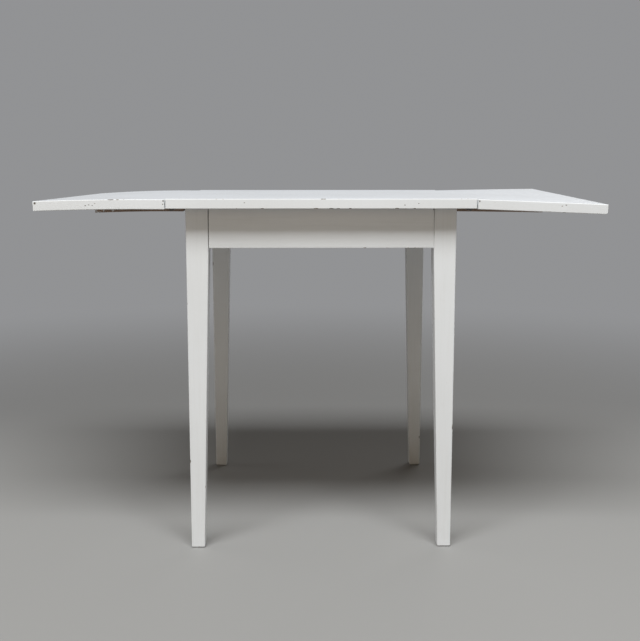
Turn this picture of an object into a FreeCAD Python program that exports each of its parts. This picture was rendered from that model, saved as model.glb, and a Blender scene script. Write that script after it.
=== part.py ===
import FreeCAD, Part
import math
import os

# Drop-leaf table, in millimetres and degrees.
# +X runs across the leaves, the front end faces -Y, +Z is up, the origin is on the floor.

# Whole table
table_height = 746.0
top_width = 628.0
top_depth = 700.0
top_thickness = 20.0
top_arris = 1.5
side_overhang = 36.0
end_overhang = 33.0

# Leaves: each hangs a little out of level and is cupped across its width, and not alike at its two ends
leaf_width = 264.0
seam_gap = 1.5
leaf_step = 1.2
left_front_droop_degrees = 0.75
left_back_droop_degrees = 1.65
right_front_droop_degrees = 2.3
right_back_droop_degrees = -0.9
left_front_cup = 1.55
left_back_cup = 2.75
right_front_cup = 0.2
right_back_cup = 0.4
left_lower_chamfer = 2.5
right_lower_chamfer = 4.0

# Legs
leg_size = 46.0
leg_foot_size = 28.5
leg_arris = 2.0
leg_foot_chamfer = 3.0
leg_square_below_rail = 14.0

# Rails and their tenons
rail_height = 82.0
rail_thickness = 20.0
rail_setback = 1.5
rail_chamfer = 1.0
tenon_thickness = 8.0
tenon_shoulder = 12.0
tenon_spacing = 2.0

# Hinges
hinge_length = 60.0
hinge_end_inset = 87.0
plate_width = 28.0
plate_thickness = 1.6
barrel_radius = 4.0
barrel_to_top = 0.4
barrel_groove_gap = 0.6
middle_knuckle_share = 0.45
knuckle_gap = 0.3
pin_radius = 2.0
pin_running_gap = 0.05
pin_head_radius = 3.2
pin_head_height = 1.2
hinge_screw_radius = 1.7
hinge_screw_head_radius = 3.3
hinge_screw_bite = 11.0
hinge_screw_along_shares = (-0.34, 0.0, 0.34)
hinge_screw_across_shares = (0.56, 0.76, 0.56)

# Battens under the leaves
batten_start = 3.0
batten_length = 205.0
batten_width = 38.0
batten_thickness = 19.0
batten_arris = 1.0
batten_glue_line = 0.1
batten_screw_radius = 2.0
batten_screw_head_radius = 4.0
batten_screw_head_height = 2.6
batten_screw_bite = 10.0
batten_screw_shares = (0.12, 0.5, 0.88)

# Lopers, the sliding bars that hold up a raised leaf
loper_width = 32.0
loper_thickness = 14.0
loper_grip = 16.0
loper_end_clearance = 34.0
loper_pair_gap = 2.0
loper_hinge_gap = 10.0
loper_leaf_gap = 0.5
loper_side_gap = 0.5
loper_bed_gap = 0.3
loper_heel_length = 30.0
loper_heel_gap = 0.5
loper_end_chamfer = 3.0
peg_radius = 4.0
peg_drop = 10.0
peg_stop_gap = 0.5
peg_tail = 12.0

# Centre bearer
bearer_width = 24.0
bearer_height = 45.0
bearer_housing = 6.0

# Corner blocks and the screws that hold the top down
block_height = 30.0
block_reach = 20.0
top_screw_inset_share = 0.25
top_screw_radius = 2.2
top_screw_head_radius = 4.2
top_screw_head_height = 2.8
top_screw_bite = 11.0

# Screw slots and tips, as shares of the screw's own head and shank
slot_width_share = 0.22
slot_depth_share = 0.45
tip_length_share = 2.0
tip_radius_share = 0.15

# Cuts run past their faces by this much
overrun = 5.0

SIDES = {"left": -1, "right": 1}
ROWS = {"front": -1, "back": 1}
DROOPS = {"left": (left_front_droop_degrees, left_back_droop_degrees),
          "right": (right_front_droop_degrees, right_back_droop_degrees)}
CUPS = {"left": (left_front_cup, left_back_cup), "right": (right_front_cup, right_back_cup)}
LOWER_CHAMFERS = {"left": left_lower_chamfer, "right": right_lower_chamfer}

# Places that follow from the sizes above
underside = table_height - top_thickness
half_top = top_width / 2
half_depth = top_depth / 2
leg_outer_x = half_top - side_overhang
leg_outer_y = half_depth - end_overhang
leg_inner_x = leg_outer_x - leg_size
leg_inner_y = leg_outer_y - leg_size
rail_outer_x = leg_outer_x - rail_setback
rail_outer_y = leg_outer_y - rail_setback
rail_inner_x = rail_outer_x - rail_thickness
rail_inner_y = rail_outer_y - rail_thickness
rail_bottom = underside - rail_height
taper_start = rail_bottom - leg_square_below_rail
tenon_margin = (rail_thickness - tenon_thickness) / 2
tenon_length = leg_size - rail_setback - rail_thickness + tenon_margin - tenon_spacing
tenon_bottom = rail_bottom + tenon_shoulder
tenon_top = underside - tenon_shoulder

barrel_drop = barrel_radius + barrel_to_top
axis_x = half_top + seam_gap / 2
axis_z = underside - barrel_drop
leaf_under = barrel_drop - leaf_step
leaf_inner = seam_gap / 2
leaf_outer = leaf_inner + leaf_width
hinge_y = half_depth - hinge_end_inset - hinge_length / 2
plate_bottom = underside - plate_thickness
half_hinge = hinge_length / 2
half_middle = hinge_length * middle_knuckle_share / 2

batten_top = leaf_under - batten_glue_line
batten_bottom = batten_top - batten_thickness
batten_end = batten_start + batten_length

peg_stop_x = bearer_width / 2 + peg_stop_gap + peg_radius
loper_inner_end = rail_inner_x - loper_end_clearance
peg_x = loper_inner_end - peg_tail - peg_radius
loper_travel = peg_x - peg_stop_x
loper_end_x = rail_outer_x + loper_grip
loper_reach = loper_end_x + loper_travel - axis_x
loper_heel_top = underside - loper_heel_gap
loper_slot_half = loper_width / 2 + loper_side_gap
loper_pitch = loper_width + loper_pair_gap
loper_row_y = hinge_y - half_hinge - loper_hinge_gap - loper_width - loper_pair_gap / 2

top_screw_inset = block_reach * top_screw_inset_share

HINGE_SCREW = (hinge_screw_radius, hinge_screw_head_radius, plate_thickness,
               plate_thickness + hinge_screw_bite)
BATTEN_SCREW = (batten_screw_radius, batten_screw_head_radius, batten_screw_head_height,
                batten_thickness + batten_glue_line + batten_screw_bite)
TOP_SCREW = (top_screw_radius, top_screw_head_radius, top_screw_head_height,
             block_height + top_screw_bite)

ALONG_X = FreeCAD.Vector(1, 0, 0)
ALONG_Y = FreeCAD.Vector(0, 1, 0)
UP = FreeCAD.Vector(0, 0, 1)


def vec(x, y, z):
    return FreeCAD.Vector(x, y, z)


def box(x0, x1, y0, y1, z0, z1):
    return Part.makeBox(x1 - x0, y1 - y0, z1 - z0, vec(x0, y0, z0))


def prism(points, way):
    """A closed outline of points, pulled along a vector."""
    return Part.Face(Part.makePolygon(points + points[:1])).extrude(way)


def mirrored(shape, side, row=1):
    """A piece of the right-hand back corner, moved to the given side and row."""
    if side < 0:
        shape = shape.mirror(vec(0, 0, 0), ALONG_X)
    if row < 0:
        shape = shape.mirror(vec(0, 0, 0), ALONG_Y)
    return shape


def cut_each(shape, tools):
    """Tools that cross each other are cut one at a time."""
    for tool in tools:
        shape = shape.cut(tool)
    return shape


def screw_body(x, y, z, sizes):
    """A countersunk wood screw driven upwards, its head flush at height z, without the slot."""
    radius, head_radius, head_height, length = sizes
    tip_length = radius * tip_length_share
    shank_top = z + length - tip_length
    head = Part.makeCone(head_radius, radius, head_height, vec(x, y, z), UP)
    shank = Part.makeCylinder(radius, shank_top - z - head_height, vec(x, y, z + head_height), UP)
    tip = Part.makeCone(radius, radius * tip_radius_share, tip_length, vec(x, y, shank_top), UP)
    return head.fuse([shank, tip])


def screw(x, y, z, sizes):
    """The same screw with the slot in its head."""
    head_radius = sizes[1]
    slot_half = head_radius * slot_width_share / 2
    slot_top = z + sizes[2] * slot_depth_share
    slot = box(x - head_radius, x + head_radius, y - slot_half, y + slot_half, z - overrun, slot_top)
    return screw_body(x, y, z, sizes).cut(slot)


def droop_at(side, y):
    """How far the leaf hangs out of level at a place along its hinge line."""
    front, back = DROOPS[side]
    return front + (back - front) * (y + half_depth) / top_depth


def loper_y(side, row):
    """Lopers lie in pairs side by side, one for each leaf."""
    return row * loper_row_y + side * loper_pitch / 2


def loper_drop():
    """How far below the centre board the lopers lie, to clear the leaf that hangs lowest over them."""
    droop = max(droop_at(side_name, loper_y(side, row))
                for side_name, side in SIDES.items() for row in ROWS.values())
    return leaf_step + loper_reach * math.sin(math.radians(droop)) + loper_leaf_gap


# Heights of the lopers
loper_top = underside - loper_drop()
loper_bottom = loper_top - loper_thickness
loper_bed = loper_bottom - loper_bed_gap


def tilted(shape, angle):
    """A right-hand piece swung down by an angle about its hinge axis."""
    turned = shape.copy()
    turned.rotate(vec(axis_x, 0, axis_z), ALONG_Y, angle)
    return turned


def leaf_point(side, u, v, y):
    """A point of the cupped and twisted leaf: u out from the hinge axis, v up from it."""
    share = (u - leaf_inner) / leaf_width
    ends = []
    for droop, cup in zip(DROOPS[side], CUPS[side]):
        rise = cup * 4 * share * (1 - share)
        ends.append(FreeCAD.Rotation(ALONG_Y, droop).multVec(vec(u, 0, v + rise)))
    mixed = ends[0] + (ends[1] - ends[0]) * ((y + half_depth) / top_depth)
    return vec(axis_x + mixed.x, y, axis_z + mixed.z)


def leaf_ring(side, u0, u1, v0, v1, y):
    """Outline of a board across the leaf, bowed with the leaf's cup."""
    middle = (u0 + u1) / 2
    low = [leaf_point(side, u, v0, y) for u in (u0, middle, u1)]
    high = [leaf_point(side, u, v1, y) for u in (u1, middle, u0)]
    return Part.Wire([Part.Arc(*low).toShape(), Part.LineSegment(low[2], high[0]).toShape(),
                      Part.Arc(*high).toShape(), Part.LineSegment(high[2], low[0]).toShape()])


def leaf_board(side, u0, u1, v0, v1, y0, y1):
    """A right-hand board that follows the leaf's droop, cup and twist."""
    return Part.makeLoft([leaf_ring(side, u0, u1, v0, v1, y) for y in (y0, y1)], True, True)


def hinge_spots(y, way):
    """Screw places of a plate on the right-hand hinge at y; way is -1 towards the centre board."""
    return [(axis_x + way * plate_width * across, y + hinge_length * along)
            for along, across in zip(hinge_screw_along_shares, hinge_screw_across_shares)]


def barrel(radius, y0, y1):
    """A round bar on the right-hand hinge axis."""
    return Part.makeCylinder(radius, y1 - y0, vec(axis_x, y0, axis_z), ALONG_Y)


def pin_bore(y):
    return barrel(pin_radius + pin_running_gap, y - hinge_length, y + hinge_length)


def fixed_plate(y):
    """Plate under the centre board, with the two outer knuckles."""
    plate = box(axis_x - plate_width, axis_x, y - half_hinge, y + half_hinge, plate_bottom, underside)
    window = half_middle + knuckle_gap
    plate = plate.cut(box(axis_x - barrel_radius - knuckle_gap, axis_x + overrun, y - window, y + window,
                          plate_bottom - overrun, underside + overrun))
    knuckles = [barrel(barrel_radius, y - half_hinge, y - window),
                barrel(barrel_radius, y + window, y + half_hinge)]
    plate = plate.fuse(knuckles).removeSplitter().cut(pin_bore(y))
    return plate.cut([screw_body(sx, sy, plate_bottom, HINGE_SCREW) for sx, sy in hinge_spots(y, -1)])


def leaf_plate(y):
    """Plate let into the leaf, with the middle knuckle, before the leaf's droop."""
    plate = box(axis_x, axis_x + plate_width, y - half_hinge, y + half_hinge, plate_bottom, underside)
    clear = axis_x + barrel_radius + knuckle_gap
    past_end = half_hinge + overrun
    for y0, y1 in ((y - past_end, y - half_middle), (y + half_middle, y + past_end)):
        plate = plate.cut(box(axis_x - overrun, clear, y0, y1, plate_bottom - overrun, underside + overrun))
    knuckle = barrel(barrel_radius, y - half_middle, y + half_middle)
    plate = plate.fuse(knuckle).removeSplitter().cut(pin_bore(y))
    return plate.cut([screw_body(sx, sy, plate_bottom, HINGE_SCREW) for sx, sy in hinge_spots(y, 1)])


def hinge_pin(y):
    """Pin with a peened head at each end."""
    rod = barrel(pin_radius, y - half_hinge, y + half_hinge)
    heads = [barrel(pin_head_radius, y - half_hinge - pin_head_height, y - half_hinge),
             barrel(pin_head_radius, y + half_hinge, y + half_hinge + pin_head_height)]
    return rod.fuse(heads)


def leaf_screws(side, y, make):
    """The leaf plate's screws, or the holes for them, at the leaf's droop."""
    level = [make(sx, sy, plate_bottom, HINGE_SCREW) for sx, sy in hinge_spots(y, 1)]
    return [tilted(one, droop_at(side, y)) for one in level]


def batten_screws(side, make):
    """The batten's screws, or the holes for them, at the leaf's droop."""
    found = []
    for share in batten_screw_shares:
        foot = leaf_point(side, batten_start + batten_length * share, batten_bottom, 0)
        one = make(foot.x, foot.y, foot.z, BATTEN_SCREW)
        one.rotate(foot, ALONG_Y, droop_at(side, 0))
        found.append(one)
    return found


def lower_chamfer(side):
    """What is worn off the outer lower edge of the leaf."""
    reach = LOWER_CHAMFERS[side] + overrun
    corners = [(leaf_outer - reach, leaf_under - overrun), (leaf_outer + overrun, leaf_under - overrun),
               (leaf_outer + overrun, leaf_under + reach)]
    rings = []
    for y in (-half_depth - overrun, half_depth + overrun):
        points = [leaf_point(side, u, v, y) for u, v in corners]
        rings.append(Part.makePolygon(points + points[:1]))
    return Part.makeLoft(rings, True, True)


def leaf(side):
    """Leaf board with its hinge recesses, barrel grooves and screw holes."""
    board = leaf_board(side, leaf_inner, leaf_outer, leaf_under, leaf_under + top_thickness,
                       -half_depth, half_depth)
    board = board.makeFillet(top_arris, board.Edges)
    groove_half = half_hinge + pin_head_height + knuckle_gap
    cuts = [lower_chamfer(side)] + batten_screws(side, screw_body)
    for row in ROWS.values():
        y = row * hinge_y
        recess = box(axis_x, axis_x + plate_width, y - half_hinge, y + half_hinge, plate_bottom, underside)
        cuts.append(tilted(recess, droop_at(side, y)))
        cuts.append(barrel(barrel_radius + barrel_groove_gap, y - groove_half, y + groove_half))
        cuts.extend(leaf_screws(side, y, screw_body))
    return cut_each(board, cuts)


def batten(side):
    """Bare-wood batten across the middle of the leaf's underside."""
    bar = leaf_board(side, batten_start, batten_end, batten_bottom, batten_top,
                     -batten_width / 2, batten_width / 2)
    bar = bar.makeFillet(batten_arris, bar.Edges)
    return cut_each(bar, batten_screws(side, screw_body))


def top_screw_spots():
    x = leg_inner_x - top_screw_inset
    y = leg_inner_y - top_screw_inset
    return [(side * x, row * y) for side in SIDES.values() for row in ROWS.values()]


def fixed_screw_spots():
    """Hinge screw places under the centre board."""
    return [(side * x, y) for side in SIDES.values() for row in ROWS.values()
            for x, y in hinge_spots(row * hinge_y, -1)]


def centre_top():
    board = box(-half_top, half_top, -half_depth, half_depth, underside, table_height)
    board = board.makeFillet(top_arris, board.Edges)
    holes = [screw_body(x, y, plate_bottom, HINGE_SCREW) for x, y in fixed_screw_spots()]
    holes += [screw_body(x, y, underside - block_height, TOP_SCREW) for x, y in top_screw_spots()]
    return board.cut(holes)


def leg_ring(size, inset, z):
    """The leg's square section with rounded corners at height z, drawn in all round by inset."""
    x0 = leg_outer_x - size + inset
    x1 = leg_outer_x - inset
    y0 = leg_outer_y - size + inset
    y1 = leg_outer_y - inset
    corners = [vec(x1, y0, z), vec(x1, y1, z), vec(x0, y1, z), vec(x0, y0, z)]
    ways = [ALONG_X, ALONG_Y, -ALONG_X, -ALONG_Y]
    bends = []
    for corner, before, after in zip(corners, ways, ways[1:] + ways[:1]):
        centre = corner - before * leg_arris + after * leg_arris
        middle = centre + (corner - centre).normalize() * leg_arris
        bends.append((corner - before * leg_arris, middle, corner + after * leg_arris))
    edges = []
    for bend, following in zip(bends, bends[1:] + bends[:1]):
        edges.append(Part.Arc(*bend).toShape())
        edges.append(Part.LineSegment(bend[2], following[0]).toShape())
    return Part.Wire(edges)


def end_tenon():
    """Tenon of an end rail in the right-hand back leg."""
    return box(leg_inner_x, leg_inner_x + tenon_length, rail_inner_y + tenon_margin,
               rail_outer_y - tenon_margin, tenon_bottom, tenon_top)


def side_tenon():
    """Tenon of a side rail in the right-hand back leg."""
    return box(rail_inner_x + tenon_margin, rail_outer_x - tenon_margin, leg_inner_y,
               leg_inner_y + tenon_length, tenon_bottom, tenon_top)


def leg():
    """Right-hand back leg: square at the rails, tapered on its two inner faces."""
    rings = [leg_ring(leg_size, 0, underside), leg_ring(leg_size, 0, taper_start),
             leg_ring(leg_foot_size, 0, leg_foot_chamfer), leg_ring(leg_foot_size, leg_foot_chamfer, 0)]
    return Part.makeLoft(rings, True, True).cut([end_tenon(), side_tenon()])


def rail_bar(inner, outer, half_length, way, across):
    """A rail between two legs, with its lower arrises taken off."""
    outline = [(inner, underside), (inner, rail_bottom + rail_chamfer),
               (inner + rail_chamfer, rail_bottom), (outer - rail_chamfer, rail_bottom),
               (outer, rail_bottom + rail_chamfer), (outer, underside)]
    points = [across * a + UP * z - way * half_length for a, z in outline]
    return prism(points, way * (half_length * 2))


def bearer_blank():
    reach = rail_inner_y + bearer_housing
    return box(-bearer_width / 2, bearer_width / 2, -reach, reach, underside - bearer_height, underside)


def end_rail():
    """Back rail, housed for the centre bearer."""
    bar = rail_bar(rail_inner_y, rail_outer_y, leg_inner_x, ALONG_X, ALONG_Y)
    tenons = [mirrored(end_tenon(), side) for side in SIDES.values()]
    return bar.fuse(tenons).removeSplitter().cut(bearer_blank())


def loper_slot(x0, x1, y, half_width):
    return box(x0, x1, y - half_width, y + half_width, loper_bed, underside + overrun)


def side_rail(side):
    """Side rail, slotted for its own two lopers; built on the right and moved to its side."""
    bar = rail_bar(rail_inner_x, rail_outer_x, leg_inner_y, ALONG_Y, ALONG_X)
    tenons = [mirrored(side_tenon(), 1, row) for row in ROWS.values()]
    slots = [loper_slot(rail_inner_x - overrun, rail_outer_x + overrun, loper_y(side, row),
                        loper_slot_half) for row in ROWS.values()]
    return mirrored(bar.fuse(tenons).removeSplitter().cut(slots), side)


def centre_bearer():
    """Cross bar that carries the lopers' inner ends, with one wide slot for each pair."""
    pair_half = loper_pitch / 2 + loper_slot_half
    slots = [loper_slot(-bearer_width, bearer_width, row * loper_row_y, pair_half)
             for row in ROWS.values()]
    return bearer_blank().cut(slots)


def stop_peg(y):
    return Part.makeCylinder(peg_radius, loper_heel_top - loper_bottom + peg_drop,
                             vec(-peg_x, y, loper_bottom - peg_drop), UP)


def loper(y):
    """Right-hand loper, pushed in, with a taller heel at its inner end."""
    heel_end = loper_heel_length - loper_inner_end
    outline = [(loper_end_x, loper_top), (loper_end_x, loper_bottom + loper_end_chamfer),
               (loper_end_x - loper_end_chamfer, loper_bottom), (-loper_inner_end, loper_bottom),
               (-loper_inner_end, loper_heel_top), (heel_end, loper_heel_top), (heel_end, loper_top)]
    points = [vec(x, y - loper_width / 2, z) for x, z in outline]
    return prism(points, ALONG_Y * loper_width).cut(stop_peg(y))


def corner_block():
    """Right-hand back block, fitted round the leg's inner corner, with its top screw's hole."""
    face_sum = leg_inner_x + leg_inner_y - block_reach
    outline = [(face_sum - rail_inner_y, rail_inner_y), (leg_inner_x, rail_inner_y),
               (leg_inner_x, leg_inner_y), (rail_inner_x, leg_inner_y),
               (rail_inner_x, face_sum - rail_inner_x)]
    points = [vec(x, y, underside - block_height) for x, y in outline]
    hole = screw_body(leg_inner_x - top_screw_inset, leg_inner_y - top_screw_inset,
                      underside - block_height, TOP_SCREW)
    return prism(points, UP * block_height).cut(hole)


def frame_pieces():
    pieces = {"centre_top": centre_top(), "centre_bearer": centre_bearer()}
    for row_name, row in ROWS.items():
        pieces[row_name + "_rail"] = mirrored(end_rail(), 1, row)
        for side_name, side in SIDES.items():
            corner = row_name + "_" + side_name
            pieces["leg_" + corner] = mirrored(leg(), side, row)
            pieces["corner_block_" + corner] = mirrored(corner_block(), side, row)
    for side_name, side in SIDES.items():
        pieces[side_name + "_rail"] = side_rail(side)
    pieces["top_screws"] = Part.makeCompound(
        [screw(x, y, underside - block_height, TOP_SCREW) for x, y in top_screw_spots()])
    pieces["hinge_screws_fixed"] = Part.makeCompound(
        [screw(x, y, plate_bottom, HINGE_SCREW) for x, y in fixed_screw_spots()])
    return pieces


def loper_pieces():
    pieces = {}
    for side_name, side in SIDES.items():
        for row_name, row in ROWS.items():
            place = side_name + "_" + row_name
            y = loper_y(side, row)
            pieces["loper_" + place] = mirrored(loper(y), side)
            pieces["stop_peg_" + place] = mirrored(stop_peg(y), side)
    return pieces


def leaf_pieces():
    pieces = {}
    for side_name, side in SIDES.items():
        pieces[side_name + "_leaf"] = mirrored(leaf(side_name), side)
        pieces[side_name + "_batten"] = mirrored(batten(side_name), side)
        pieces["batten_screws_" + side_name] = mirrored(
            Part.makeCompound(batten_screws(side_name, screw)), side)
        screws = []
        for row_name, row in ROWS.items():
            y = row * hinge_y
            hinge = "hinge_" + side_name + "_" + row_name
            pieces[hinge + "_fixed"] = mirrored(fixed_plate(y), side)
            pieces[hinge + "_leaf"] = mirrored(tilted(leaf_plate(y), droop_at(side_name, y)), side)
            pieces[hinge + "_pin"] = mirrored(hinge_pin(y), side)
            screws += leaf_screws(side_name, y, screw)
        pieces["hinge_screws_" + side_name] = mirrored(Part.makeCompound(screws), side)
    return pieces


os.makedirs("parts", exist_ok=True)
for name, shape in {**frame_pieces(), **loper_pieces(), **leaf_pieces()}.items():
    shape.exportStep("parts/" + name + ".step")
    print(name, len(shape.Solids), shape.isValid(), round(shape.Volume))
print("loper travel", loper_travel, "hinge axis", axis_x, axis_z, "loper top", loper_top)
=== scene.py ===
import math
import random

import bmesh
import bpy
from mathutils import Euler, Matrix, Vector, noise


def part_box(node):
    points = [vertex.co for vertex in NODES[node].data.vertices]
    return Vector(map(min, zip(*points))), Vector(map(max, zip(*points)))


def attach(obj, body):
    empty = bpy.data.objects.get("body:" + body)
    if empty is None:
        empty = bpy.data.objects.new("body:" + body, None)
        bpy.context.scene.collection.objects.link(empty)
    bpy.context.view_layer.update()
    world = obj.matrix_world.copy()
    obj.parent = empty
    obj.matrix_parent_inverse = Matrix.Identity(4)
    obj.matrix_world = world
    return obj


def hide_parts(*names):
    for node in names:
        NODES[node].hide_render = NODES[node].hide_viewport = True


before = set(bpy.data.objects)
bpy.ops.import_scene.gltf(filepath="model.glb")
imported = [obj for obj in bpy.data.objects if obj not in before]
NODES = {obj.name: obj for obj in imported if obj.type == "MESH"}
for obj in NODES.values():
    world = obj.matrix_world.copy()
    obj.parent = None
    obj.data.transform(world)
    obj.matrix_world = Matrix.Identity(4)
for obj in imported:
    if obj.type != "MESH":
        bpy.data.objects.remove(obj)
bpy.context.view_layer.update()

# Camera, fitted to the corners of the top and the feet in a 640 pixel wide picture
PICTURE_WIDTH_PX = 640
FOCAL_PX = 1021.8
SENSOR_MM = 36.0
CAMERA_AT = Vector((-0.0304, -2.4164, 0.8158))
CAMERA_YAW_DEG = 0.758
CAMERA_DOWN_DEG = 8.725

# Light: a key from the front and above, with weak soft fills from the front, the left and behind.
# A lamp's way is the side and the height that it shines from, in degrees.
LIGHT_AIM = Vector((0.0, 0.0, 0.6))
SOFT_WHITE = (1.0, 0.99, 0.97)
LAMPS = {
    "key": {"way": (-5.0, 61.4), "distance": 8.0, "size": (7.0, 2.7),
            "watts": 845.0, "colour": (0.985, 0.995, 1.0)},
    "front_fill": {"way": (-8.0, 14.0), "distance": 4.2, "size": (2.4, 2.4),
                   "watts": 11.5, "colour": (1.0, 0.77, 0.51)},
    "side_fill": {"way": (-105.0, 25.0), "distance": 4.5, "size": (2.2, 2.2),
                  "watts": 12.0, "colour": SOFT_WHITE},
    "back_fill": {"way": (148.0, 36.0), "distance": 4.5, "size": (2.2, 2.2),
                  "watts": 32.0, "colour": SOFT_WHITE},
}
SKY_LIGHT = (0.090, 0.077, 0.061, 1.0)
BACKDROP = (0.287, 0.29, 0.298, 1.0)

# Floor: painted shade darkens it from its front to its back colour along y, and it fades into the
# backdrop outwards
FLOOR_FRONT = (0.325, 0.325, 0.320, 1.0)
FLOOR_BACK_SHADE = (0.182, 0.182, 0.180, 1.0)
FLOOR_SHADE_SPAN = (-0.35, 1.1)
FLOOR_FADE = (0.9, 3.6)
FLOOR_NOISE = (2.0, 3.0, 0.5, 0.0)
FLOOR_ROUGHNESS = (0.55, 0.65)
FLOOR_SHINE = 0.12
FLOOR_RADIUS = 30.0
FLOOR_SIDES = 96

# Paint, wood and metal colours
PAINT_CLEAN = (0.850, 0.874, 0.892, 1.0)
PAINT_DULL = (0.800, 0.818, 0.827, 1.0)
# Painted shade: the upward faces of the top get these darker, bluer whites, standing in for how the
# light falls on them
PAINT_TOP_SHADE = (0.590, 0.613, 0.645, 1.0)
PAINT_TOP_SHADE_DULL = (0.537, 0.555, 0.580, 1.0)
PAINT_GRIME = (0.42, 0.395, 0.35, 1.0)
UNDERCOAT = (0.52, 0.49, 0.43, 1.0)
WOOD_LIGHT = (0.255, 0.160, 0.088, 1.0)
WOOD_DARK = (0.095, 0.052, 0.028, 1.0)
WOOD_GREY = (0.155, 0.128, 0.100, 1.0)
BATTEN_LIGHT = (0.50, 0.37, 0.29, 1.0)
BATTEN_DARK = (0.21, 0.145, 0.11, 1.0)
CHIP_LIGHT = (0.190, 0.155, 0.125, 1.0)
CHIP_DARK = (0.070, 0.055, 0.045, 1.0)
PEG_LIGHT = (0.40, 0.27, 0.155, 1.0)
IRON_GREY = (0.235, 0.225, 0.215, 1.0)
IRON_DARK = (0.085, 0.078, 0.072, 1.0)
RUST = (0.165, 0.070, 0.030, 1.0)

# In the patterns below, a noise is its scale, detail, roughness and warp. A band is the value at
# which a pattern starts to show and the value at which it shows in full. A bump is its strength
# and its depth in metres.

# How often a pattern repeats along x, y and z where the grain runs along an axis
GRAIN = {"x": (1.0, 22.0, 22.0), "y": (22.0, 1.0, 22.0), "z": (22.0, 22.0, 1.0)}
ALONG = {"x": Vector((1, 0, 0)), "y": Vector((0, 1, 0)), "z": Vector((0, 0, 1))}
DOWN = (0.0, 0.0, -1.0)

# Edges: samples of the bevel node, how wide an arris is rubbed and how much bend counts as one
BEVEL_SAMPLES = 6
ARRIS_RADIUS = 0.0035
EDGE_BAND = (0.004, 0.20)

# Bare wood
RING_NOISE = (5.0, 3.0, 0.55, 0.6)
RING_COUNT = 7.0
RING_BAND = (0.05, 0.95)
RING_SHARE = 0.45
FIBRE_NOISE = (30.0, 6.0, 0.65, 0.0)
FIBRE_BAND = (0.25, 0.75)
FIBRE_SHARE = 0.55
DIRT_NOISE = (9.0, 5.0, 0.6, 0.0)
DIRT_BAND = (0.42, 0.72)
DIRT_SHARE = 0.55
LIGHT_EDGE_SHARE = 0.35
WOOD_ROUGHNESS = (0.62, 0.86)
WOOD_BUMP = (0.5, 0.0006)

# Wood inside a chip, with remains of undercoat
REMAINS_NOISE = (260.0, 4.0, 0.6, 0.0)
REMAINS_BAND = (0.48, 0.60)
REMAINS_SHARE = 0.85
CHIP_WOOD_ROUGHNESS = (0.7, 0.9)

# Paint on the battens, more of it at their outer ends
SPLASH_REACH = (0.455, 0.505)
SPLASH_REACH_GAIN = 0.16
SPLASH_NOISE = (70.0, 4.0, 0.6, 0.0)
SPLASH_BAND = (0.70, 0.72)
SPLASH_GLOSS = 0.25
SPLASH_HEIGHT = 0.6

# Paint: brush strokes, dull patches, lumps, grime, specks, wear down to the wood and painted shade
# on upward faces
TOP_GLOSS = (0.50, 0.58)
TOP_RELIEF = 0.10
FRAME_GLOSS = (0.34, 0.60)
FRAME_RELIEF = 0.35
PAINT_DEPTH = 0.0003
STROKE_NOISE = (9.0, 3.0, 0.55, 0.0)
STROKE_BAND = (0.45, 0.75)
STROKE_GLOSS_BAND = (0.25, 0.75)
STROKE_SHARE = 0.4
STROKE_HEIGHT = 0.8
PATCH_NOISE = (3.2, 3.0, 0.5, 0.4)
PATCH_BAND = (0.38, 0.68)
PATCH_SHARE = 0.6
LUMP_NOISE = (300.0, 2.0, 0.5, 0.0)
LUMP_HEIGHT = 0.15
GRIME_NOISE = (38.0, 6.0, 0.62, 0.3)
GRIME_BAND = (0.60, 0.78)
GRIME_ON_FACE = 0.08
GRIME_ON_EDGE = 0.40
SPECK_SCALE = 60.0
SPECK_RADIUS = 0.085
SPECK_CORE = 0.4
SPECK_CELLS = 0.03
SPECK_FAINT = 0.8
SPECK_GRIME = 0.40
WEAR_NOISE = (120.0, 5.0, 0.65, 0.0)
WEAR_EDGE_GAIN = 0.11
WEAR_BAND = (0.735, 0.765)
WEAR_WOOD_SHARE = 0.5
WEAR_DEPTH = 0.6
# Upward faces that take the painted shade of the top
TOP_SHADE_BAND = (0.80, 0.97)

# Bare faces, and the paint that laps over their edges below a height
BARE_BAND = (0.80, 0.95)
BARE_ROUGHNESS = 0.80
LAP_RADIUS = 0.016
LAP_NOISE = (55.0, 4.0, 0.6, 0.0)
LAP_BAND = (0.80, 0.74)
LAP_FADE = 0.004
RAIL_LAP = 0.03
ABOVE_TABLE = 1.0

# Iron: scale, rust, bright edges and smears of paint on a share of it
SCALE_NOISE = (160.0, 5.0, 0.65, 0.0)
SCALE_HEIGHT = 0.5
SCALE_ROUGHNESS = (0.38, 0.55)
RUST_NOISE = (75.0, 6.0, 0.7, 0.4)
RUST_BAND = (0.50, 0.68)
RUST_SHARE = 0.8
RUST_HEIGHT = 0.5
RUST_ROUGHNESS = 0.25
CLEAN_METALLIC = 0.85
RUSTY_METALLIC = 0.25
IRON_EDGE_RADIUS = ARRIS_RADIUS * 0.3
IRON_EDGE_SHARE = 0.3
IRON_BUMP = (0.4, 0.0003)
SMEAR_NOISE = (48.0, 5.0, 0.6, 0.5)
SMEAR_BAND = (0.74, 0.78)
HINGE_PAINT = 0.14
SCREW_PAINT = 0.05

# Chips: half lengths along the edge and half widths across it, in metres
CHIP_LENGTH = (0.0022, 0.0070)
CHIP_WIDTH = (0.0010, 0.0021)
CHIP_LIFT_SHARE = 0.35
CHIP_SUBDIVISIONS = 2
CHIP_ROUGHNESS = 0.38
CHIP_BULGE_SCALE = 1.7
CHIP_BULGE_STEP = (3.1, 1.3)
CHIP_SEED = 1871
BOARD_END_CHIPS = 6
BOARD_SIDE_CHIPS = 12
LEG_CHIPS = 4
RAIL_CHIPS = 8
BATTEN_CHIPS = 8
WORN_LEG_SHARE = 0.8

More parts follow.
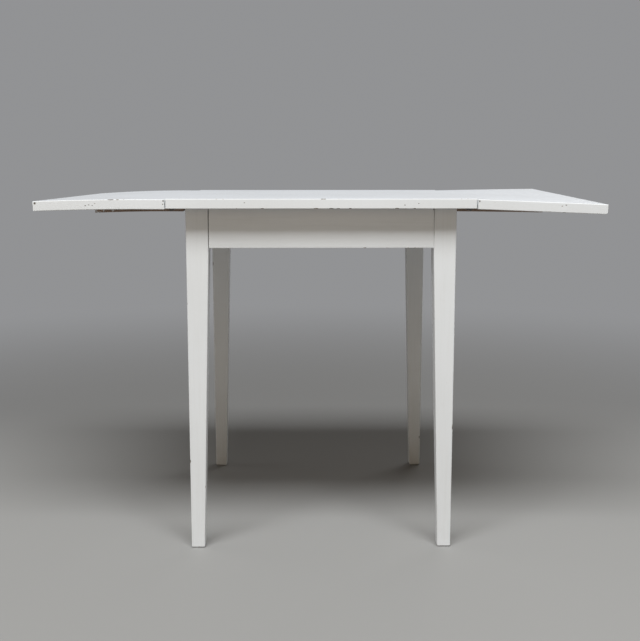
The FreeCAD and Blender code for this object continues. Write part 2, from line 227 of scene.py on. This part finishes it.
# Chips that the photograph shows on the front edges: x, depth below the top, half length and half
# width
FRONT_CHIPS = {
    "left_leaf": [(-0.5748, 0.0088, 0.0024, 0.0026), (-0.474, 0.0135, 0.0018, 0.0009),
                  (-0.467, 0.0120, 0.0020, 0.0008), (-0.460, 0.0130, 0.0014, 0.0008),
                  (-0.455, 0.0090, 0.0018, 0.0007), (-0.318, 0.0040, 0.0016, 0.0020),
                  (-0.319, 0.0110, 0.0012, 0.0014)],
    "centre_top": [(0.020, 0.0196, 0.0050, 0.0013), (0.034, 0.0197, 0.0040, 0.0012),
                   (0.058, 0.0198, 0.0030, 0.0014), (0.168, 0.0125, 0.0016, 0.0010),
                   (0.196, 0.0095, 0.0014, 0.0009), (0.188, 0.0195, 0.0030, 0.0011),
                   (-0.155, 0.0080, 0.0020, 0.0007)],
    "right_leaf": [(0.319, 0.0050, 0.0014, 0.0022), (0.486, 0.0150, 0.0018, 0.0009),
                   (0.494, 0.0130, 0.0020, 0.0008)],
}

# Each rail's grain and the way its bare inner face looks
RAILS = {"front_rail": ("x", (0.0, 1.0, 0.0)), "back_rail": ("x", (0.0, -1.0, 0.0)),
         "left_rail": ("y", (1.0, 0.0, 0.0)), "right_rail": ("y", (-1.0, 0.0, 0.0))}

# Open joints where the front rail meets the legs: side, share of the rail's height that the gap
# starts at, its width there and its width at the top. The last is a notch in the right top corner.
RAIL_GAPS = ((-1, 0.0, 0.0010, 0.0016), (1, 0.0, 0.0001, 0.0010), (1, 0.965, 0.0014, 0.0042))
GAP_DEPTH = 0.008
GAP_OVERRUN = 0.002

# Limits for the clean-up of a worn mesh
WELD = 2e-5
SLIVER_AREA = 1e-6
SLIVER_WIDTH = 2e-6
FLAT_ANGLE = math.radians(0.4)
SHARP_ANGLE = math.radians(32)
KINK_ANGLE = math.radians(8)
FLAT_KINK_ANGLE = math.radians(90)
KINK_HEIGHT = 5e-5

# Sockets of a Mix node that mixes colours
MIX_SHARE, MIX_FIRST, MIX_SECOND = 0, 6, 7
MIX_RESULT = 2


class Graph:
    """A node tree being built: each call adds one node or more and gives an output."""

    def __init__(self, tree):
        self.nodes = tree.nodes
        self.links = tree.links

    def feed(self, socket, value):
        if isinstance(value, bpy.types.NodeSocket):
            self.links.new(value, socket)
        else:
            socket.default_value = value

    def add(self, kind, settings, inputs, output=0):
        node = self.nodes.new(kind)
        for key, value in settings.items():
            setattr(node, key, value)
        for key, value in inputs.items():
            self.feed(node.inputs[key], value)
        return node.outputs[output]

    def math(self, operation, first, second=0.0):
        return self.add("ShaderNodeMath", {"operation": operation}, {0: first, 1: second})

    def plus(self, first, second):
        return self.math("ADD", first, second)

    def minus(self, first, second):
        return self.math("SUBTRACT", first, second)

    def times(self, first, second):
        return self.math("MULTIPLY", first, second)

    def larger(self, first, second):
        return self.math("MAXIMUM", first, second)

    def vector(self, operation, first, second=(0.0, 0.0, 0.0), output="Vector"):
        inputs = {0: first, 1: second}
        return self.add("ShaderNodeVectorMath", {"operation": operation}, inputs, output)

    def part(self, vector, axis):
        return self.add("ShaderNodeSeparateXYZ", {}, {"Vector": vector}, axis)

    def step(self, value, low, high):
        """0 at low, 1 at high and smooth between them, also where low is the higher of the two."""
        return self.add("ShaderNodeMapRange", {"interpolation_type": "SMOOTHSTEP"}, {
            "Value": value, "From Min": low, "From Max": high})

    def span(self, value, low, high):
        """A value from 0 to 1, spread over another range."""
        return self.add("ShaderNodeMapRange", {}, {"Value": value, "To Min": low, "To Max": high})

    def mix(self, share, first, second):
        inputs = {MIX_SHARE: share, MIX_FIRST: first, MIX_SECOND: second}
        return self.add("ShaderNodeMix", {"data_type": "RGBA"}, inputs, MIX_RESULT)

    def seen_directly(self):
        """1 for what the camera sees, also in a reflection or through glass."""
        path = self.nodes.new("ShaderNodeLightPath").outputs
        seen = self.larger(path["Is Camera Ray"], path["Is Glossy Ray"])
        return self.larger(seen, path["Is Transmission Ray"])


class Finish(Graph):
    """A material being built, with its patterns laid out in the piece's own space."""

    def __init__(self, name):
        self.material = bpy.data.materials.new(name)
        self.material.use_nodes = True
        super().__init__(self.material.node_tree)
        self.bsdf = self.nodes["Principled BSDF"]
        place = self.nodes.new("ShaderNodeTexCoord")
        self.spot = place.outputs["Object"]
        self.facing = place.outputs["Normal"]

    def noise(self, pattern, along=None):
        """A noise, drawn out along the grain where its axis is given."""
        scale, detail, rough, warp = pattern
        spot = self.spot
        if along:
            spot = self.add("ShaderNodeMapping", {}, {"Vector": spot, "Scale": GRAIN[along]})
        return self.add("ShaderNodeTexNoise", {}, {
            "Vector": spot, "Scale": scale, "Detail": detail,
            "Roughness": rough, "Distortion": warp})

    def edge(self, radius):
        """About 1 on an arris, fading to 0 at the given distance from it."""
        rounded = self.add("ShaderNodeBevel", {"samples": BEVEL_SAMPLES}, {"Radius": radius})
        plain = self.add("ShaderNodeNewGeometry", {}, {}, "Normal")
        bend = self.minus(1.0, self.vector("DOT_PRODUCT", rounded, plain, "Value"))
        sizes = self.vector("ABSOLUTE", self.facing)
        largest = self.larger(self.part(sizes, "X"), self.part(sizes, "Y"))
        largest = self.larger(largest, self.part(sizes, "Z"))
        slant = self.minus(1.0, largest)
        return self.step(self.larger(bend, slant), *EDGE_BAND)

    def specks(self):
        """Round specks in a share of the cells of a grid."""
        cell = self.nodes.new("ShaderNodeTexVoronoi")
        self.feed(cell.inputs["Vector"], self.spot)
        self.feed(cell.inputs["Scale"], SPECK_SCALE)
        near = self.step(cell.outputs["Distance"], SPECK_RADIUS, SPECK_RADIUS * SPECK_CORE)
        lot = self.part(cell.outputs["Color"], "X")
        picked = self.step(lot, 1.0 - SPECK_CELLS, 1.0 - SPECK_CELLS * SPECK_FAINT)
        return self.times(near, picked)

    def bump(self, height, strength, depth):
        inputs = {"Strength": strength, "Distance": depth, "Height": height}
        return self.add("ShaderNodeBump", {}, inputs)

    def done(self, colour, roughness, normal):
        self.feed(self.bsdf.inputs["Base Color"], colour)
        self.feed(self.bsdf.inputs["Roughness"], roughness)
        self.feed(self.bsdf.inputs["Normal"], normal)
        return self.material


def wood_colour(finish, along, light=WOOD_LIGHT, dark=WOOD_DARK):
    """Old bare softwood: growth rings pulled out along the grain, fine fibres and grey dirt."""
    rings = finish.times(finish.noise(RING_NOISE, along), RING_COUNT)
    rings = finish.step(finish.math("FRACT", rings), *RING_BAND)
    fibres = finish.noise(FIBRE_NOISE, along)
    dirt = finish.step(finish.noise(DIRT_NOISE), *DIRT_BAND)
    tone = finish.times(finish.step(fibres, *FIBRE_BAND), FIBRE_SHARE)
    tone = finish.plus(tone, finish.times(rings, RING_SHARE))
    colour = finish.mix(tone, dark, light)
    colour = finish.mix(finish.times(dirt, DIRT_SHARE), colour, WOOD_GREY)
    return colour, fibres


def paint(name, along, gloss, relief, shade_top=False, bare_way=None, lap_top=ABOVE_TABLE):
    """Worn white oil paint over wood, brushed along the grain, with painted shade on its upward
    faces or not.

    The face where bare_way points is bare, but paint laps round its edges below the height lap_top.
    """
    finish = Finish(name)
    strokes = finish.noise(STROKE_NOISE, along)
    patches = finish.noise(PATCH_NOISE)
    lumps = finish.noise(LUMP_NOISE)
    edge = finish.edge(ARRIS_RADIUS)
    dull = finish.times(finish.step(patches, *PATCH_BAND), PATCH_SHARE)
    dull = finish.plus(dull, finish.times(finish.step(strokes, *STROKE_BAND), STROKE_SHARE))
    colour = finish.mix(dull, PAINT_CLEAN, PAINT_DULL)
    # Painted shade: a darker, bluer white on the upward faces, standing in for how the light falls
    # on the top
    if shade_top:
        upper = finish.step(finish.part(finish.facing, "Z"), *TOP_SHADE_BAND)
        colour = finish.mix(upper, colour, finish.mix(dull, PAINT_TOP_SHADE, PAINT_TOP_SHADE_DULL))
    grime = finish.step(finish.noise(GRIME_NOISE), *GRIME_BAND)
    grime = finish.times(grime, finish.span(edge, GRIME_ON_FACE, GRIME_ON_EDGE))
    grime = finish.larger(grime, finish.times(finish.specks(), SPECK_GRIME))
    colour = finish.mix(grime, colour, PAINT_GRIME)
    worn = finish.plus(finish.noise(WEAR_NOISE), finish.times(edge, WEAR_EDGE_GAIN))
    worn = finish.step(worn, *WEAR_BAND)
    under, fibres = wood_colour(finish, along)
    colour = finish.mix(worn, colour, finish.mix(WEAR_WOOD_SHARE, UNDERCOAT, under))
    height = finish.times(strokes, STROKE_HEIGHT)
    height = finish.plus(height, finish.times(lumps, LUMP_HEIGHT))
    height = finish.minus(height, finish.times(worn, WEAR_DEPTH))
    rough = finish.span(finish.step(strokes, *STROKE_GLOSS_BAND), *gloss)
    if bare_way:
        bare = finish.vector("DOT_PRODUCT", finish.facing, bare_way, "Value")
        bare = finish.step(bare, *BARE_BAND)
        lap = finish.step(finish.part(finish.spot, "Z"), lap_top, lap_top - LAP_FADE)
        lap = finish.times(finish.edge(LAP_RADIUS), lap)
        lap = finish.plus(lap, finish.noise(LAP_NOISE))
        bare = finish.times(bare, finish.step(lap, *LAP_BAND))
        colour = finish.mix(bare, colour, under)
        height = finish.plus(height, finish.times(bare, fibres))
        rough = finish.larger(rough, finish.times(bare, BARE_ROUGHNESS))
    return finish.done(colour, rough, finish.bump(height, relief, PAINT_DEPTH))


def chip_wood():
    """Inside a chip: old wood with remains of undercoat."""
    finish = Finish("chip_wood")
    colour, fibres = wood_colour(finish, "x", CHIP_LIGHT, CHIP_DARK)
    remains = finish.step(finish.noise(REMAINS_NOISE), *REMAINS_BAND)
    colour = finish.mix(finish.times(remains, REMAINS_SHARE), colour, UNDERCOAT)
    rough = finish.span(fibres, *CHIP_WOOD_ROUGHNESS)
    return finish.done(colour, rough, finish.bump(fibres, *WOOD_BUMP))


def bare_wood(name, along, light=WOOD_LIGHT, dark=WOOD_DARK):
    """Old bare wood with lighter arrises."""
    finish = Finish(name)
    colour, fibres = wood_colour(finish, along, light, dark)
    edge = finish.edge(ARRIS_RADIUS)
    colour = finish.mix(finish.times(edge, LIGHT_EDGE_SHARE), colour, light)
    rough = finish.span(fibres, *WOOD_ROUGHNESS)
    return finish.done(colour, rough, finish.bump(fibres, *WOOD_BUMP))


def batten_wood():
    """Brown batten with white paint that ran onto it near its outer end."""
    finish = Finish("batten_wood")
    colour, fibres = wood_colour(finish, "x", BATTEN_LIGHT, BATTEN_DARK)
    reach = finish.math("ABSOLUTE", finish.part(finish.spot, "X"))
    reach = finish.times(finish.step(reach, *SPLASH_REACH), SPLASH_REACH_GAIN)
    splash = finish.plus(finish.noise(SPLASH_NOISE), reach)
    splash = finish.step(splash, *SPLASH_BAND)
    colour = finish.mix(splash, colour, PAINT_DULL)
    rough = finish.span(fibres, *WOOD_ROUGHNESS)
    rough = finish.minus(rough, finish.times(splash, SPLASH_GLOSS))
    height = finish.plus(fibres, finish.times(splash, SPLASH_HEIGHT))
    return finish.done(colour, rough, finish.bump(height, *WOOD_BUMP))


def iron(name, paint_share):
    """Dull iron with rust, and paint left by the brush on a share of it."""
    finish = Finish(name)
    scale = finish.noise(SCALE_NOISE)
    rust = finish.step(finish.noise(RUST_NOISE), *RUST_BAND)
    edge = finish.edge(IRON_EDGE_RADIUS)
    colour = finish.mix(scale, IRON_DARK, IRON_GREY)
    colour = finish.mix(finish.times(rust, RUST_SHARE), colour, RUST)
    colour = finish.mix(finish.times(edge, IRON_EDGE_SHARE), colour, IRON_GREY)
    smear = finish.noise(SMEAR_NOISE)
    smear = finish.step(smear, *(limit - paint_share for limit in SMEAR_BAND))
    colour = finish.mix(smear, colour, PAINT_DULL)
    metallic = finish.span(rust, CLEAN_METALLIC, RUSTY_METALLIC)
    metallic = finish.times(finish.minus(1.0, smear), metallic)
    finish.feed(finish.bsdf.inputs["Metallic"], metallic)
    rough = finish.span(scale, *SCALE_ROUGHNESS)
    rough = finish.plus(rough, finish.times(rust, RUST_ROUGHNESS))
    height = finish.times(scale, SCALE_HEIGHT)
    height = finish.plus(height, finish.times(rust, RUST_HEIGHT))
    return finish.done(colour, rough, finish.bump(height, *IRON_BUMP))


def new_object(name, mesh):
    piece = bpy.data.objects.new(name, mesh)
    bpy.context.scene.collection.objects.link(piece)
    return piece


def welded_copy(node):
    """A closed copy of a node's mesh, with its flat faces whole."""
    work = bmesh.new()
    work.from_mesh(NODES[node].data)
    bmesh.ops.remove_doubles(work, verts=work.verts, dist=WELD)
    bmesh.ops.dissolve_limit(work, angle_limit=FLAT_ANGLE, verts=work.verts, edges=work.edges)
    mesh = bpy.data.meshes.new(node + "_worn")
    work.to_mesh(mesh)
    work.free()
    return new_object(node + "_worn", mesh)


def add_chip(work, centre, along, sizes, number):
    """One rough lump, longest along the edge that it bites into."""
    made = bmesh.ops.create_icosphere(work, subdivisions=CHIP_SUBDIVISIONS, radius=1.0)
    length, width = sizes
    scale = Vector((width, width, width)) + along * (length - width)
    shift = Vector((number * CHIP_BULGE_STEP[0], number * CHIP_BULGE_STEP[1], 0.0))
    for vert in made["verts"]:
        bulge = 1.0 + CHIP_ROUGHNESS * noise.noise(vert.co * CHIP_BULGE_SCALE + shift)
        vert.co = Vector(a * b for a, b in zip(vert.co * bulge, scale)) + centre


def edge_spots(low, high, along, count, draw):
    """Places on the four edges of a box that run along an axis."""
    axis = "xyz".index(along)
    others = [i for i in range(3) if i != axis]
    found = []
    for _ in range(count):
        spot = Vector((0.0, 0.0, 0.0))
        spot[axis] = draw.uniform(low[axis], high[axis])
        for other in others:
            spot[other] = draw.choice((low[other], high[other]))
        found.append((spot, ALONG[along]))
    return found


def below(height, spots):
    return [spot for spot in spots if spot[0].z < height]


def add_crack(work, ends):
    """A thin wedge, given by two opposite corners of its foot and two of its top."""
    rings = []
    for low, high in ends:
        ring = ((low.x, low.y), (high.x, low.y), (high.x, high.y), (low.x, high.y))
        rings.append([work.verts.new((x, y, low.z)) for x, y in ring])
    foot, top = rings
    work.faces.new(foot[::-1])
    work.faces.new(top)
    for i in range(4):
        work.faces.new((foot[i], foot[i - 3], top[i - 3], top[i]))


def chip_mesh(piece, spots, draw, cracks):
    """All that bites into a piece: lumps set on the surface nearest to their place, and cracks."""
    work = bmesh.new()
    for crack in cracks:
        add_crack(work, crack)
    for number, (spot, along, *sizes) in enumerate(spots, 1):
        length, width = sizes or (draw.uniform(*CHIP_LENGTH), draw.uniform(*CHIP_WIDTH))
        _, place, normal, _ = piece.closest_point_on_mesh(spot)
        centre = place + normal * width * CHIP_LIFT_SHARE
        add_chip(work, centre, along, (length, width), number)
    mesh = bpy.data.meshes.new(piece.name + "_chips")
    work.to_mesh(mesh)
    work.free()
    return mesh


def island_from(face):
    """All faces that hang together with one by edges that just two faces share."""
    found, waiting = {face}, [face]
    while waiting:
        for edge in waiting.pop().edges:
            if len(edge.link_faces) == 2:
                fresh = [other for other in edge.link_faces if other not in found]
                found.update(fresh)
                waiting.extend(fresh)
    return found


def is_rim(edge):
    """Whether shading breaks at an edge: at a sharp arris and at the rim of a chip."""
    if len(edge.link_faces) != 2:
        return True
    first, second = edge.link_faces
    if first.material_index != second.material_index:
        return True
    return edge.calc_face_angle(0.0) > SHARP_ANGLE


def is_kink(vert):
    """Whether a corner between just two edges is too slight to keep."""
    if len(vert.link_edges) != 2:
        return False
    start, end = (edge.other_vert(vert).co for edge in vert.link_edges)
    flat = (vert.co - start).cross(end - start).length < KINK_HEIGHT * (end - start).length
    return vert.calc_edge_angle(math.pi) < (FLAT_KINK_ANGLE if flat else KINK_ANGLE)


def clean_surface(mesh):
    """Smooth shading between the rims, without the specks of surface that a cut leaves loose."""
    work = bmesh.new()
    work.from_mesh(mesh)
    bmesh.ops.dissolve_degenerate(work, dist=SLIVER_WIDTH, edges=work.edges)
    bmesh.ops.dissolve_limit(work, angle_limit=FLAT_ANGLE, verts=work.verts, edges=work.edges,
                             delimit={"MATERIAL"})
    bmesh.ops.dissolve_verts(work, verts=[vert for vert in work.verts if is_kink(vert)])
    seen, stray = set(), []
    for face in work.faces:
        if face not in seen:
            island = island_from(face)
            seen |= island
            if sum(member.calc_area() for member in island) < SLIVER_AREA:
                stray.extend(island)
    bmesh.ops.delete(work, geom=stray, context="FACES")
    for face in work.faces:
        face.smooth = True
    for edge in work.edges:
        edge.smooth = not is_rim(edge)
    work.to_mesh(mesh)
    work.free()


def carve(piece, cutter, body, node):
    """The piece without what its cutter covers, in place of its node."""
    bite = piece.modifiers.new("bite", "BOOLEAN")
    bite.operation = "DIFFERENCE"
    bite.solver = "EXACT"
    bite.use_self = True
    bite.material_mode = "TRANSFER"
    bite.object = cutter
    evaluated = piece.evaluated_get(bpy.context.evaluated_depsgraph_get())
    mesh = bpy.data.meshes.new_from_object(evaluated)
    clean_surface(mesh)
    piece.modifiers.clear()
    piece.data = mesh
    bpy.data.objects.remove(cutter)
    even = piece.modifiers.new("even", "WEIGHTED_NORMAL")
    even.keep_sharp = True
    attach(piece, body)
    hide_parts(node)


def worn_piece(node, body, coat, chip, spots, draw, cracks=()):
    """A node's worn copy: coated outside, and with chip wood where it is cut."""
    piece = welded_copy(node)
    piece.data.materials.append(coat)
    cutter = new_object(node + "_cutter", chip_mesh(piece, spots, draw, cracks))
    cutter.data.materials.append(chip)
    carve(piece, cutter, body, node)


def board_spots(node, draw):
    """Chips round the rim of a board, and those that the photograph shows."""
    low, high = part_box(node)
    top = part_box("centre_top")[1].z
    spots = [(Vector((x, low.y, top - depth)), ALONG["x"], length, width)
             for x, depth, length, width in FRONT_CHIPS[node]]
    spots += edge_spots(low, high, "x", BOARD_END_CHIPS, draw)
    return spots + edge_spots(low, high, "y", BOARD_SIDE_CHIPS, draw)


def dress_top(draw, chip):
    # The boards' upward faces take painted shade
    coat = paint("painted_top", "y", TOP_GLOSS, TOP_RELIEF, shade_top=True, bare_way=DOWN)
    boards = {"centre_top": "frame", "left_leaf": "left_leaf", "right_leaf": "right_leaf"}
    for node, body in boards.items():
        worn_piece(node, body, coat, chip, board_spots(node, draw), draw)


def dress_legs(draw, chip):
    coat = paint("painted_legs", "z", FRAME_GLOSS, FRAME_RELIEF)
    for node in sorted(name for name in NODES if name.startswith("leg_")):
        low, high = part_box(node)
        worn_top = low.z + (high.z - low.z) * WORN_LEG_SHARE
        spots = below(worn_top, edge_spots(low, high, "z", LEG_CHIPS, draw))
        worn_piece(node, "frame", coat, chip, spots, draw)


def rail_cracks():
    """The open joints of the front rail, each as the ends of a wedge."""
    low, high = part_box("front_rail")
    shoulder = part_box("leg_front_right")[0].x
    cracks = []
    for side, start, *widths in RAIL_GAPS:
        heights = (low.z + (high.z - low.z) * start - GAP_OVERRUN, high.z + GAP_OVERRUN)
        ends = []
        for width, z in zip(widths, heights):
            left, right = sorted((side * (shoulder + GAP_OVERRUN), side * (shoulder - width)))
            ends.append((Vector((left, low.y - GAP_OVERRUN, z)),
                         Vector((right, low.y + GAP_DEPTH, z))))
        cracks.append(ends)
    return cracks


def dress_rails(draw, chip):
    for node, (along, inward) in RAILS.items():
        low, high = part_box(node)
        spots = below(high.z, edge_spots(low, high, along, RAIL_CHIPS, draw))
        coat = paint("painted_" + node, along, FRAME_GLOSS, FRAME_RELIEF,
                     bare_way=inward, lap_top=low.z + RAIL_LAP)
        cracks = rail_cracks() if node == "front_rail" else ()
        worn_piece(node, "frame", coat, chip, spots, draw, cracks)


def dress_battens(draw):
    coat = batten_wood()
    for side in ("left", "right"):
        node = side + "_batten"
        low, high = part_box(node)
        spots = below(high.z, edge_spots(low, high, "x", BATTEN_CHIPS, draw))
        worn_piece(node, side + "_leaf", coat, coat, spots, draw)


def set_finish(prefixes, material):
    for name, node in NODES.items():
        if name.startswith(prefixes):
            node.data.materials.clear()
            node.data.materials.append(material)


def finish_bare_pieces():
    set_finish(("loper_",), bare_wood("loper_wood", "x"))
    set_finish(("centre_bearer",), bare_wood("bearer_wood", "y"))
    set_finish(("corner_block_",), bare_wood("block_wood", "z"))
    set_finish(("stop_peg_",), bare_wood("peg_wood", "z", PEG_LIGHT, WOOD_LIGHT))
    set_finish(("hinge_left", "hinge_right"), iron("hinge_iron", HINGE_PAINT))
    set_finish(("hinge_screws", "batten_screws", "top_screws"), iron("screw_steel", SCREW_PAINT))


def floor_material():
    """Floor with painted shade that darkens it behind, that takes shadows, fades into the backdrop
    and is clear from below.
    """
    finish = Finish("floor")
    # Painted shade: the floor turns darker towards the back, standing in for light falling off
    behind = finish.step(finish.part(finish.spot, "Y"), *FLOOR_SHADE_SPAN)
    colour = finish.mix(behind, FLOOR_FRONT, FLOOR_BACK_SHADE)
    finish.feed(finish.bsdf.inputs["Base Color"], colour)
    finish.feed(finish.bsdf.inputs["Specular IOR Level"], FLOOR_SHINE)
    rough = finish.span(finish.noise(FLOOR_NOISE), *FLOOR_ROUGHNESS)
    finish.feed(finish.bsdf.inputs["Roughness"], rough)
    away = finish.vector("LENGTH", finish.spot, output="Value")
    share = finish.times(finish.step(away, *FLOOR_FADE), finish.seen_directly())
    glow = finish.add("ShaderNodeEmission", {}, {"Color": BACKDROP, "Strength": 1.0})
    blend = finish.add("ShaderNodeMixShader", {}, {0: share, 1: finish.bsdf.outputs[0], 2: glow})
    under = finish.add("ShaderNodeNewGeometry", {}, {}, "Backfacing")
    clear = finish.add("ShaderNodeBsdfTransparent", {}, {})
    blend = finish.add("ShaderNodeMixShader", {}, {0: under, 1: blend, 2: clear})
    finish.feed(finish.nodes["Material Output"].inputs["Surface"], blend)
    return finish.material


def add_floor():
    mesh = bpy.data.meshes.new("floor")
    work = bmesh.new()
    bmesh.ops.create_circle(work, cap_ends=True, segments=FLOOR_SIDES, radius=FLOOR_RADIUS)
    work.to_mesh(mesh)
    work.free()
    floor = new_object("floor", mesh)
    floor.data.materials.append(floor_material())


def add_world():
    """A plain backdrop for the camera, and a weaker, warmer light from all round."""
    world = bpy.data.worlds.new("studio")
    bpy.context.scene.world = world
    world.use_nodes = True
    graph = Graph(world.node_tree)
    colour = graph.mix(graph.seen_directly(), SKY_LIGHT, BACKDROP)
    graph.feed(graph.nodes["Background"].inputs["Color"], colour)


def add_lamp(name, kind):
    """A soft lamp, placed by the side and the height that it shines from."""
    side, height = (math.radians(angle) for angle in kind["way"])
    level = math.cos(height)
    way = Vector((math.sin(side) * level, -math.cos(side) * level, math.sin(height)))
    lamp = bpy.data.lights.new(name, "AREA")
    lamp.energy = kind["watts"]
    lamp.shape = "RECTANGLE"
    lamp.size, lamp.size_y = kind["size"]
    lamp.color = kind["colour"]
    holder = new_object(name, lamp)
    holder.location = LIGHT_AIM + way * kind["distance"]
    holder.rotation_euler = (-way).to_track_quat("-Z", "Y").to_euler()


def add_camera():
    camera = bpy.data.cameras.new("camera")
    camera.sensor_fit = "HORIZONTAL"
    camera.sensor_width = SENSOR_MM
    camera.lens = FOCAL_PX / PICTURE_WIDTH_PX * SENSOR_MM
    camera.clip_end = 2 * FLOOR_RADIUS
    holder = new_object("camera", camera)
    holder.location = CAMERA_AT
    tilt, turn = math.radians(90 - CAMERA_DOWN_DEG), math.radians(-CAMERA_YAW_DEG)
    holder.rotation_euler = Euler((tilt, 0.0, turn))
    bpy.context.scene.camera = holder


draw = random.Random(CHIP_SEED)
chip = chip_wood()
dress_top(draw, chip)
dress_legs(draw, chip)
dress_rails(draw, chip)
dress_battens(draw)
finish_bare_pieces()
add_floor()
add_world()
for lamp_name, lamp_kind in LAMPS.items():
    add_lamp(lamp_name, lamp_kind)
add_camera()
bpy.context.scene.view_settings.view_transform = "Standard"
